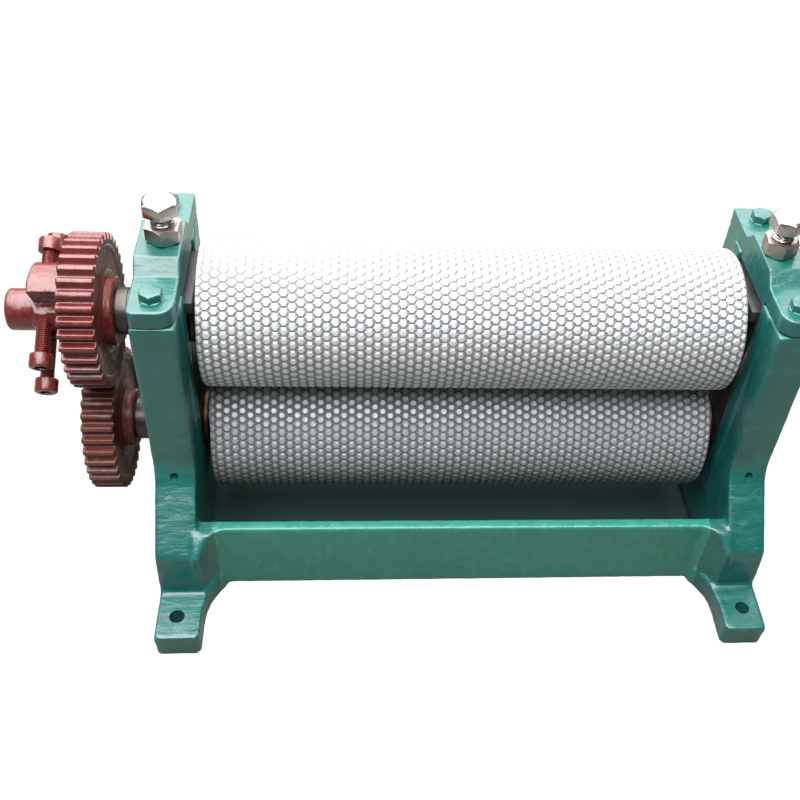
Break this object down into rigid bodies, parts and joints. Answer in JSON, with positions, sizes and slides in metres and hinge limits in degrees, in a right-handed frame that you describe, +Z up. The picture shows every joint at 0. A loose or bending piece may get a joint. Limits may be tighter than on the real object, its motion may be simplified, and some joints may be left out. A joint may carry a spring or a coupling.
{
  "type": "beeswax foundation roller mill",
  "caption": "Hand-driven mill with a pair of honeycomb-patterned rollers geared together in a cast frame, with screws that set the roller gap.",
  "frame": {"origin": "centre of the bounding box's underside, on the surface the four feet stand on", "axes": "+X along the rollers away from the gears, -Y towards the operator, +Z up"},
  "size_m": [0.466, 0.258, 0.236],
  "materials": {
    "green_enamel": "gloss brush enamel on cast iron",
    "green_bolts": "steel bolts painted over with the frame",
    "red_enamel": "gloss enamel on cast iron",
    "dark_iron": "dark oiled",
    "steel": "turned",
    "zinc_plate": "bright zinc plate",
    "roller_alloy": "engraved satin",
    "bronze": "machined"
  },
  "bodies": {
    "frame": {"stand_left": "green_enamel", "stand_right": "green_enamel", "beam_front": "green_enamel", "beam_rear": "green_enamel", "cap_left": "green_enamel", "cap_right": "green_enamel", "lower_block_left": "dark_iron", "lower_block_right": "dark_iron", "lower_bush_left": "bronze", "lower_bush_right": "bronze", "cap_bolt_left_front": "green_bolts", "cap_bolt_left_rear": "green_bolts", "cap_bolt_right_front": "green_bolts", "cap_bolt_right_rear": "green_bolts", "beam_bolt_left_front_upper": "green_bolts", "beam_bolt_left_front_lower": "green_bolts", "beam_bolt_left_rear_upper": "green_bolts", "beam_bolt_left_rear_lower": "green_bolts", "beam_bolt_right_front_upper": "green_bolts", "beam_bolt_right_front_lower": "green_bolts", "beam_bolt_right_rear_upper": "green_bolts", "beam_bolt_right_rear_lower": "green_bolts"},
    "lock_nut_left": {"lock_nut_left": "zinc_plate"},
    "lock_nut_right": {"lock_nut_right": "zinc_plate"},
    "carriage": {"upper_block_left": "dark_iron", "upper_block_right": "dark_iron", "upper_bush_left": "bronze", "upper_bush_right": "bronze"},
    "adjusting_screw_left": {"adjusting_screw_left": "zinc_plate"},
    "adjusting_screw_right": {"adjusting_screw_right": "zinc_plate"},
    "lower_roller": {"lower_roller": "roller_alloy", "lower_shaft": "steel", "lower_gear": "red_enamel", "lower_gear_key": "steel", "lower_roller_key": "steel", "lower_collar": "steel", "lower_collar_screw": "steel", "lower_spacer": "dark_iron"},
    "upper_gear": {"upper_gear": "red_enamel", "hub_screw_back_upper": "red_enamel", "hub_screw_back_lower": "red_enamel"},
    "upper_roller": {"upper_roller": "roller_alloy", "upper_shaft": "steel", "upper_roller_key": "steel", "upper_collar": "steel", "upper_collar_screw": "steel", "upper_spacer": "dark_iron", "hub_screw_front_upper": "red_enamel", "hub_screw_front_lower": "red_enamel"}
  },
  "joints": [
    {"name": "lower_roller_spin", "type": "hinge", "parent": "frame", "child": "lower_roller", "pos_m": [0.0315, 0, 0.0736], "axis": [1, 0, 0], "continuous": true},
    {"name": "upper_carriage_lift", "type": "slide", "parent": "frame", "child": "carriage", "axis": [0, 0, 1], "range_m": [0, 0.003]},
    {"name": "upper_gear_spin", "type": "hinge", "parent": "carriage", "child": "upper_gear", "pos_m": [-0.187, 0, 0.16], "axis": [1, 0, 0], "continuous": true},
    {"name": "upper_roller_phase", "type": "hinge", "parent": "upper_gear", "child": "upper_roller", "pos_m": [0.0315, 0, 0.16], "axis": [1, 0, 0], "range_deg": [-3, 3]},
    {"name": "adjusting_screw_left_turn", "type": "hinge", "parent": "carriage", "child": "adjusting_screw_left", "pos_m": [-0.1406, 0, 0.228], "axis": [0, 0, 1], "range_deg": [0, 618]},
    {"name": "adjusting_screw_right_turn", "type": "hinge", "parent": "carriage", "child": "adjusting_screw_right", "pos_m": [0.2066, 0, 0.228], "axis": [0, 0, 1], "range_deg": [0, 618]},
    {"name": "lock_nut_left_turn", "type": "hinge", "parent": "frame", "child": "lock_nut_left", "pos_m": [-0.1406, 0, 0.2115], "axis": [0, 0, 1], "range_deg": [0, 90]},
    {"name": "lock_nut_right_turn", "type": "hinge", "parent": "frame", "child": "lock_nut_right", "pos_m": [0.2066, 0, 0.2115], "axis": [0, 0, 1], "range_deg": [0, 90]}
  ],
  "couplings": [
    {"joint": "upper_gear_spin", "follows": "lower_roller_spin", "ratio": -1},
    {"joint": "adjusting_screw_left_turn", "follows": "upper_carriage_lift", "rad_per_m": 3590.4},
    {"joint": "adjusting_screw_right_turn", "follows": "upper_carriage_lift", "rad_per_m": 3590.4}
  ]
}
